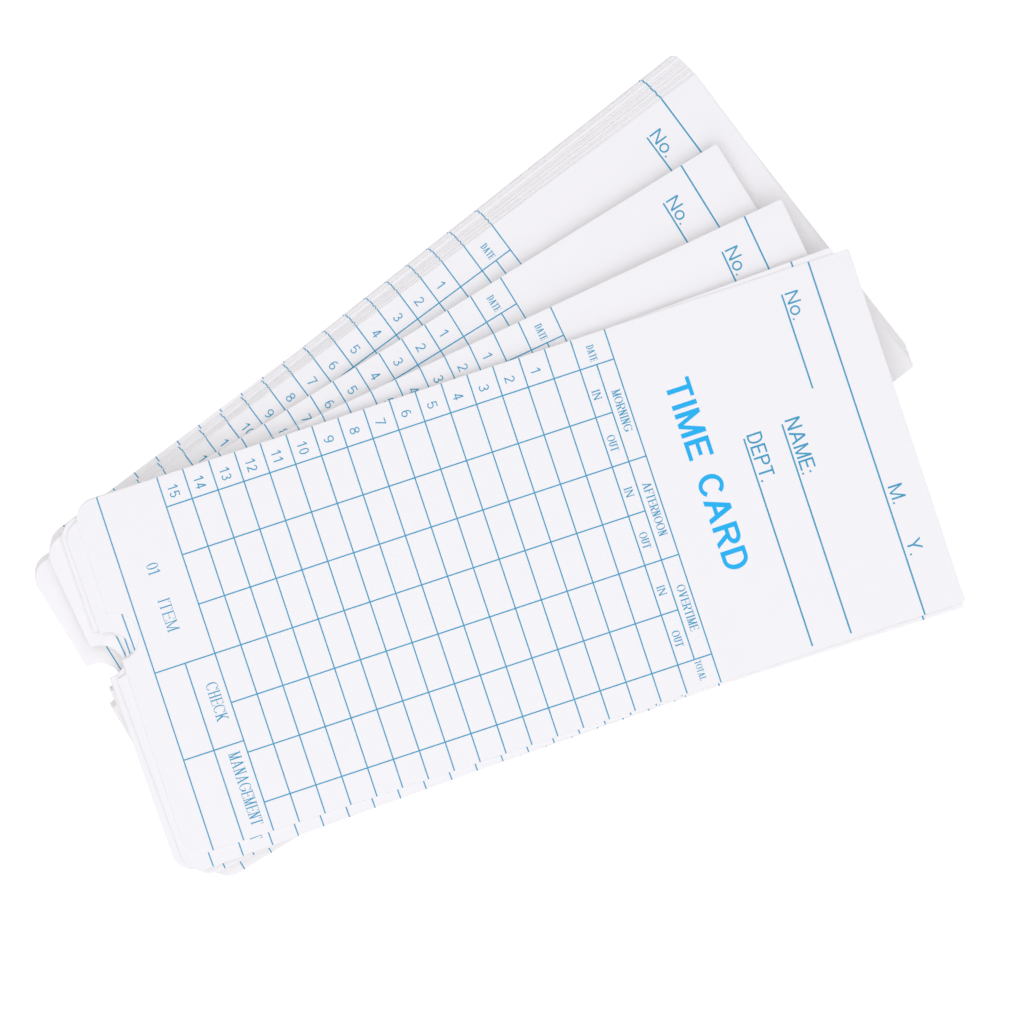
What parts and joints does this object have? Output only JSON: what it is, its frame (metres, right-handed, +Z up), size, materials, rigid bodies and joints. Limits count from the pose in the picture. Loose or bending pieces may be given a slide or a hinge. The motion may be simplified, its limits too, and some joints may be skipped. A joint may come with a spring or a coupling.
{
  "type": "time clock card pack",
  "caption": "Fanned pack of loose printed time cards for a punch time clock, each with a notched lower edge, swinging about one pinch axis.",
  "frame": {"origin": "where the upright pinch axis of the fan meets the underside of the lowest card, which is the plane the pack rests on", "axes": "+Z up through the pack, from its resting face to the printed face of the top card; +X along the pack's longest extent, towards the header ends of the cards; +Y completes it, towards the side that the lowest cards are fanned to"},
  "size_m": [0.2117, 0.1887, 0.0174],
  "materials": {
    "card_stock": "matt uncoated white card, 0.25 mm, with clean cut edges",
    "form_ink": "flat blue printing ink on the card's face"
  },
  "bodies": {
    "card_01": {"card_01": "card_stock"},
    "card_02": {"card_02": "card_stock"},
    "card_03": {"card_03": "card_stock"},
    "card_04": {"card_04": "card_stock"},
    "card_05": {"card_05": "card_stock"},
    "card_06": {"card_06": "card_stock"},
    "card_07": {"card_07": "card_stock"},
    "card_08": {"card_08": "card_stock"},
    "card_09": {"card_09": "card_stock"},
    "card_10": {"card_10": "card_stock"},
    "card_11": {"card_11": "card_stock"},
    "card_12": {"card_12": "card_stock"},
    "card_13": {"card_13": "card_stock"},
    "card_14": {"card_14": "card_stock"},
    "card_15": {"card_15": "card_stock"},
    "card_16": {"card_16": "card_stock"},
    "card_17": {"card_17": "card_stock"},
    "card_18": {"card_18": "card_stock"},
    "card_19": {"card_19": "card_stock"},
    "card_20": {"card_20": "card_stock"},
    "card_21": {"card_21": "card_stock"},
    "card_22": {"card_22": "card_stock"},
    "card_23": {"card_23": "card_stock"},
    "card_24": {"card_24": "card_stock"},
    "card_25": {"card_25": "card_stock"},
    "card_26": {"card_26": "card_stock"},
    "card_27": {"card_27": "card_stock"},
    "card_28": {"card_28": "card_stock"},
    "card_29": {"card_29": "card_stock"},
    "card_30": {"card_30": "card_stock"},
    "card_31": {"card_31": "card_stock"},
    "card_32": {"card_32": "card_stock"},
    "card_33": {"card_33": "card_stock"},
    "card_34": {"card_34": "card_stock"},
    "card_35": {"card_35": "card_stock"},
    "card_36": {"card_36": "card_stock"},
    "card_37": {"card_37": "card_stock"},
    "card_38": {"card_38": "card_stock"},
    "card_39": {"card_39": "card_stock"},
    "card_40": {"card_40": "card_stock"},
    "card_41": {"card_41": "card_stock"},
    "card_42": {"card_42": "card_stock"},
    "card_43": {"card_43": "card_stock"},
    "card_44": {"card_44": "card_stock"},
    "card_45": {"card_45": "card_stock"},
    "card_46": {"card_46": "card_stock"},
    "card_47": {"card_47": "card_stock"},
    "card_48": {"card_48": "card_stock"},
    "card_49": {"card_49": "card_stock"},
    "card_50": {"card_50": "card_stock"}
  },
  "joints": [
    {"name": "card_17_swing", "type": "hinge", "parent": "card_01", "child": "card_17", "pos_m": [0, 0, 0], "axis": [0, 0, 1], "range_deg": [-14, 1.57]},
    {"name": "card_02_swing", "type": "hinge", "parent": "card_01", "child": "card_02", "pos_m": [0, 0, 0], "axis": [0, 0, 1], "range_deg": [-15.16, 1.7]},
    {"name": "card_03_swing", "type": "hinge", "parent": "card_01", "child": "card_03", "pos_m": [0, 0, 0], "axis": [0, 0, 1], "range_deg": [-0.179, 0.021]},
    {"name": "card_04_swing", "type": "hinge", "parent": "card_01", "child": "card_04", "pos_m": [0, 0, 0], "axis": [0, 0, 1], "range_deg": [-0.298, 0.034]},
    {"name": "card_05_swing", "type": "hinge", "parent": "card_01", "child": "card_05", "pos_m": [0, 0, 0], "axis": [0, 0, 1], "range_deg": [-0.417, 0.047]},
    {"name": "card_06_swing", "type": "hinge", "parent": "card_01", "child": "card_06", "pos_m": [0, 0, 0], "axis": [0, 0, 1], "range_deg": [-0.536, 0.061]},
    {"name": "card_07_swing", "type": "hinge", "parent": "card_01", "child": "card_07", "pos_m": [0, 0, 0], "axis": [0, 0, 1], "range_deg": [-0.98, 0.11]},
    {"name": "card_08_swing", "type": "hinge", "parent": "card_01", "child": "card_08", "pos_m": [0, 0, 0], "axis": [0, 0, 1], "range_deg": [-2.28, 0.26]},
    {"name": "card_09_swing", "type": "hinge", "parent": "card_01", "child": "card_09", "pos_m": [0, 0, 0], "axis": [0, 0, 1], "range_deg": [-3.58, 0.4]},
    {"name": "card_10_swing", "type": "hinge", "parent": "card_01", "child": "card_10", "pos_m": [0, 0, 0], "axis": [0, 0, 1], "range_deg": [-4.89, 0.55]},
    {"name": "card_11_swing", "type": "hinge", "parent": "card_01", "child": "card_11", "pos_m": [0, 0, 0], "axis": [0, 0, 1], "range_deg": [-6.19, 0.69]},
    {"name": "card_12_swing", "type": "hinge", "parent": "card_01", "child": "card_12", "pos_m": [0, 0, 0], "axis": [0, 0, 1], "range_deg": [-7.49, 0.84]},
    {"name": "card_13_swing", "type": "hinge", "parent": "card_01", "child": "card_13", "pos_m": [0, 0, 0], "axis": [0, 0, 1], "range_deg": [-8.79, 0.99]},
    {"name": "card_14_swing", "type": "hinge", "parent": "card_01", "child": "card_14", "pos_m": [0, 0, 0], "axis": [0, 0, 1], "range_deg": [-10.1, 1.13]},
    {"name": "card_15_swing", "type": "hinge", "parent": "card_01", "child": "card_15", "pos_m": [0, 0, 0], "axis": [0, 0, 1], "range_deg": [-11.4, 1.28]},
    {"name": "card_16_swing", "type": "hinge", "parent": "card_01", "child": "card_16", "pos_m": [0, 0, 0], "axis": [0, 0, 1], "range_deg": [-12.7, 1.43]},
    {"name": "card_29_swing", "type": "hinge", "parent": "card_01", "child": "card_29", "pos_m": [0, 0, 0], "axis": [0, 0, 1], "range_deg": [-26, 6.52]},
    {"name": "card_18_swing", "type": "hinge", "parent": "card_01", "child": "card_18", "pos_m": [0, 0, 0], "axis": [0, 0, 1], "range_deg": [-29.75, 7.46]},
    {"name": "card_19_swing", "type": "hinge", "parent": "card_01", "child": "card_19", "pos_m": [0, 0, 0], "axis": [0, 0, 1], "range_deg": [-29.41, 7.38]},
    {"name": "card_20_swing", "type": "hinge", "parent": "card_01", "child": "card_20", "pos_m": [0, 0, 0], "axis": [0, 0, 1], "range_deg": [-29.07, 7.29]},
    {"name": "card_21_swing", "type": "hinge", "parent": "card_01", "child": "card_21", "pos_m": [0, 0, 0], "axis": [0, 0, 1], "range_deg": [-28.73, 7.2]},
    {"name": "card_22_swing", "type": "hinge", "parent": "card_01", "child": "card_22", "pos_m": [0, 0, 0], "axis": [0, 0, 1], "range_deg": [-28.39, 7.12]},
    {"name": "card_23_swing", "type": "hinge", "parent": "card_01", "child": "card_23", "pos_m": [0, 0, 0], "axis": [0, 0, 1], "range_deg": [-28.05, 7.03]},
    {"name": "card_24_swing", "type": "hinge", "parent": "card_01", "child": "card_24", "pos_m": [0, 0, 0], "axis": [0, 0, 1], "range_deg": [-27.7, 6.95]},
    {"name": "card_25_swing", "type": "hinge", "parent": "card_01", "child": "card_25", "pos_m": [0, 0, 0], "axis": [0, 0, 1], "range_deg": [-27.36, 6.86]},
    {"name": "card_26_swing", "type": "hinge", "parent": "card_01", "child": "card_26", "pos_m": [0, 0, 0], "axis": [0, 0, 1], "range_deg": [-27.02, 6.78]},
    {"name": "card_27_swing", "type": "hinge", "parent": "card_01", "child": "card_27", "pos_m": [0, 0, 0], "axis": [0, 0, 1], "range_deg": [-26.68, 6.69]},
    {"name": "card_28_swing", "type": "hinge", "parent": "card_01", "child": "card_28", "pos_m": [0, 0, 0], "axis": [0, 0, 1], "range_deg": [-26.34, 6.61]},
    {"name": "card_42_swing", "type": "hinge", "parent": "card_01", "child": "card_42", "pos_m": [0, 0, 0], "axis": [0, 0, 1], "range_deg": [-52, 13.26]},
    {"name": "card_30_swing", "type": "hinge", "parent": "card_01", "child": "card_30", "pos_m": [0, 0, 0], "axis": [0, 0, 1], "range_deg": [-55.73, 14.21]},
    {"name": "card_31_swing", "type": "hinge", "parent": "card_01", "child": "card_31", "pos_m": [0, 0, 0], "axis": [0, 0, 1], "range_deg": [-55.41, 14.13]},
    {"name": "card_32_swing", "type": "hinge", "parent": "card_01", "child": "card_32", "pos_m": [0, 0, 0], "axis": [0, 0, 1], "range_deg": [-55.1, 14.05]},
    {"name": "card_33_swing", "type": "hinge", "parent": "card_01", "child": "card_33", "pos_m": [0, 0, 0], "axis": [0, 0, 1], "range_deg": [-54.79, 13.97]},
    {"name": "card_34_swing", "type": "hinge", "parent": "card_01", "child": "card_34", "pos_m": [0, 0, 0], "axis": [0, 0, 1], "range_deg": [-54.48, 13.89]},
    {"name": "card_35_swing", "type": "hinge", "parent": "card_01", "child": "card_35", "pos_m": [0, 0, 0], "axis": [0, 0, 1], "range_deg": [-54.17, 13.81]},
    {"name": "card_36_swing", "type": "hinge", "parent": "card_01", "child": "card_36", "pos_m": [0, 0, 0], "axis": [0, 0, 1], "range_deg": [-53.86, 13.73]},
    {"name": "card_37_swing", "type": "hinge", "parent": "card_01", "child": "card_37", "pos_m": [0, 0, 0], "axis": [0, 0, 1], "range_deg": [-53.55, 13.65]},
    {"name": "card_38_swing", "type": "hinge", "parent": "card_01", "child": "card_38", "pos_m": [0, 0, 0], "axis": [0, 0, 1], "range_deg": [-53.24, 13.58]},
    {"name": "card_39_swing", "type": "hinge", "parent": "card_01", "child": "card_39", "pos_m": [0, 0, 0], "axis": [0, 0, 1], "range_deg": [-52.93, 13.5]},
    {"name": "card_40_swing", "type": "hinge", "parent": "card_01", "child": "card_40", "pos_m": [0, 0, 0], "axis": [0, 0, 1], "range_deg": [-52.62, 13.42]},
    {"name": "card_41_swing", "type": "hinge", "parent": "card_01", "child": "card_41", "pos_m": [0, 0, 0], "axis": [0, 0, 1], "range_deg": [-52.31, 13.34]},
    {"name": "card_49_swing", "type": "hinge", "parent": "card_01", "child": "card_49", "pos_m": [0, 0, 0], "axis": [0, 0, 1], "range_deg": [-80, 18.41]},
    {"name": "card_43_swing", "type": "hinge", "parent": "card_01", "child": "card_43", "pos_m": [0, 0, 0], "axis": [0, 0, 1], "range_deg": [-81.96, 18.86]},
    {"name": "card_44_swing", "type": "hinge", "parent": "card_01", "child": "card_44", "pos_m": [0, 0, 0], "axis": [0, 0, 1], "range_deg": [-82.17, 18.91]},
    {"name": "card_45_swing", "type": "hinge", "parent": "card_01", "child": "card_45", "pos_m": [0, 0, 0], "axis": [0, 0, 1], "range_deg": [-82.39, 18.96]},
    {"name": "card_46_swing", "type": "hinge", "parent": "card_01", "child": "card_46", "pos_m": [0, 0, 0], "axis": [0, 0, 1], "range_deg": [-82.61, 19.01]},
    {"name": "card_47_swing", "type": "hinge", "parent": "card_01", "child": "card_47", "pos_m": [0, 0, 0], "axis": [0, 0, 1], "range_deg": [-82.83, 19.06]},
    {"name": "card_48_swing", "type": "hinge", "parent": "card_01", "child": "card_48", "pos_m": [0, 0, 0], "axis": [0, 0, 1], "range_deg": [-89, 20.48]},
    {"name": "card_50_draw", "type": "slide", "parent": "card_49", "child": "card_50", "axis": [0.9493, 0.3145, 0], "range_m": [0, 0.2]}
  ],
  "couplings": [
    {"joint": "card_02_swing", "follows": "card_17_swing", "ratio": 1.0828},
    {"joint": "card_03_swing", "follows": "card_17_swing", "ratio": 0.01274},
    {"joint": "card_04_swing", "follows": "card_17_swing", "ratio": 0.02123},
    {"joint": "card_05_swing", "follows": "card_17_swing", "ratio": 0.02972},
    {"joint": "card_06_swing", "follows": "card_17_swing", "ratio": 0.03822},
    {"joint": "card_07_swing", "follows": "card_17_swing", "ratio": 0.07006},
    {"joint": "card_08_swing", "follows": "card_17_swing", "ratio": 0.16306},
    {"joint": "card_09_swing", "follows": "card_17_swing", "ratio": 0.25605},
    {"joint": "card_10_swing", "follows": "card_17_swing", "ratio": 0.34904},
    {"joint": "card_11_swing", "follows": "card_17_swing", "ratio": 0.44204},
    {"joint": "card_12_swing", "follows": "card_17_swing", "ratio": 0.53503},
    {"joint": "card_13_swing", "follows": "card_17_swing", "ratio": 0.62803},
    {"joint": "card_14_swing", "follows": "card_17_swing", "ratio": 0.72102},
    {"joint": "card_15_swing", "follows": "card_17_swing", "ratio": 0.81401},
    {"joint": "card_16_swing", "follows": "card_17_swing", "ratio": 0.90701},
    {"joint": "card_18_swing", "follows": "card_29_swing", "ratio": 1.1442},
    {"joint": "card_19_swing", "follows": "card_29_swing", "ratio": 1.1311},
    {"joint": "card_20_swing", "follows": "card_29_swing", "ratio": 1.118},
    {"joint": "card_21_swing", "follows": "card_29_swing", "ratio": 1.1049},
    {"joint": "card_22_swing", "follows": "card_29_swing", "ratio": 1.0917},
    {"joint": "card_23_swing", "follows": "card_29_swing", "ratio": 1.0786},
    {"joint": "card_24_swing", "follows": "card_29_swing", "ratio": 1.0655},
    {"joint": "card_25_swing", "follows": "card_29_swing", "ratio": 1.0524},
    {"joint": "card_26_swing", "follows": "card_29_swing", "ratio": 1.0393},
    {"joint": "card_27_swing", "follows": "card_29_swing", "ratio": 1.0262},
    {"joint": "card_28_swing", "follows": "card_29_swing", "ratio": 1.0131},
    {"joint": "card_30_swing", "follows": "card_42_swing", "ratio": 1.0716},
    {"joint": "card_31_swing", "follows": "card_42_swing", "ratio": 1.0657},
    {"joint": "card_32_swing", "follows": "card_42_swing", "ratio": 1.0597},
    {"joint": "card_33_swing", "follows": "card_42_swing", "ratio": 1.0537},
    {"joint": "card_34_swing", "follows": "card_42_swing", "ratio": 1.0478},
    {"joint": "card_35_swing", "follows": "card_42_swing", "ratio": 1.0418},
    {"joint": "card_36_swing", "follows": "card_42_swing", "ratio": 1.0358},
    {"joint": "card_37_swing", "follows": "card_42_swing", "ratio": 1.0298},
    {"joint": "card_38_swing", "follows": "card_42_swing", "ratio": 1.0239},
    {"joint": "card_39_swing", "follows": "card_42_swing", "ratio": 1.0179},
    {"joint": "card_40_swing", "follows": "card_42_swing", "ratio": 1.0119},
    {"joint": "card_41_swing", "follows": "card_42_swing", "ratio": 1.006},
    {"joint": "card_43_swing", "follows": "card_49_swing", "ratio": 1.0244},
    {"joint": "card_44_swing", "follows": "card_49_swing", "ratio": 1.0272},
    {"joint": "card_45_swing", "follows": "card_49_swing", "ratio": 1.0299},
    {"joint": "card_46_swing", "follows": "card_49_swing", "ratio": 1.0326},
    {"joint": "card_47_swing", "follows": "card_49_swing", "ratio": 1.0353},
    {"joint": "card_48_swing", "follows": "card_49_swing", "ratio": 1.1124}
  ]
}
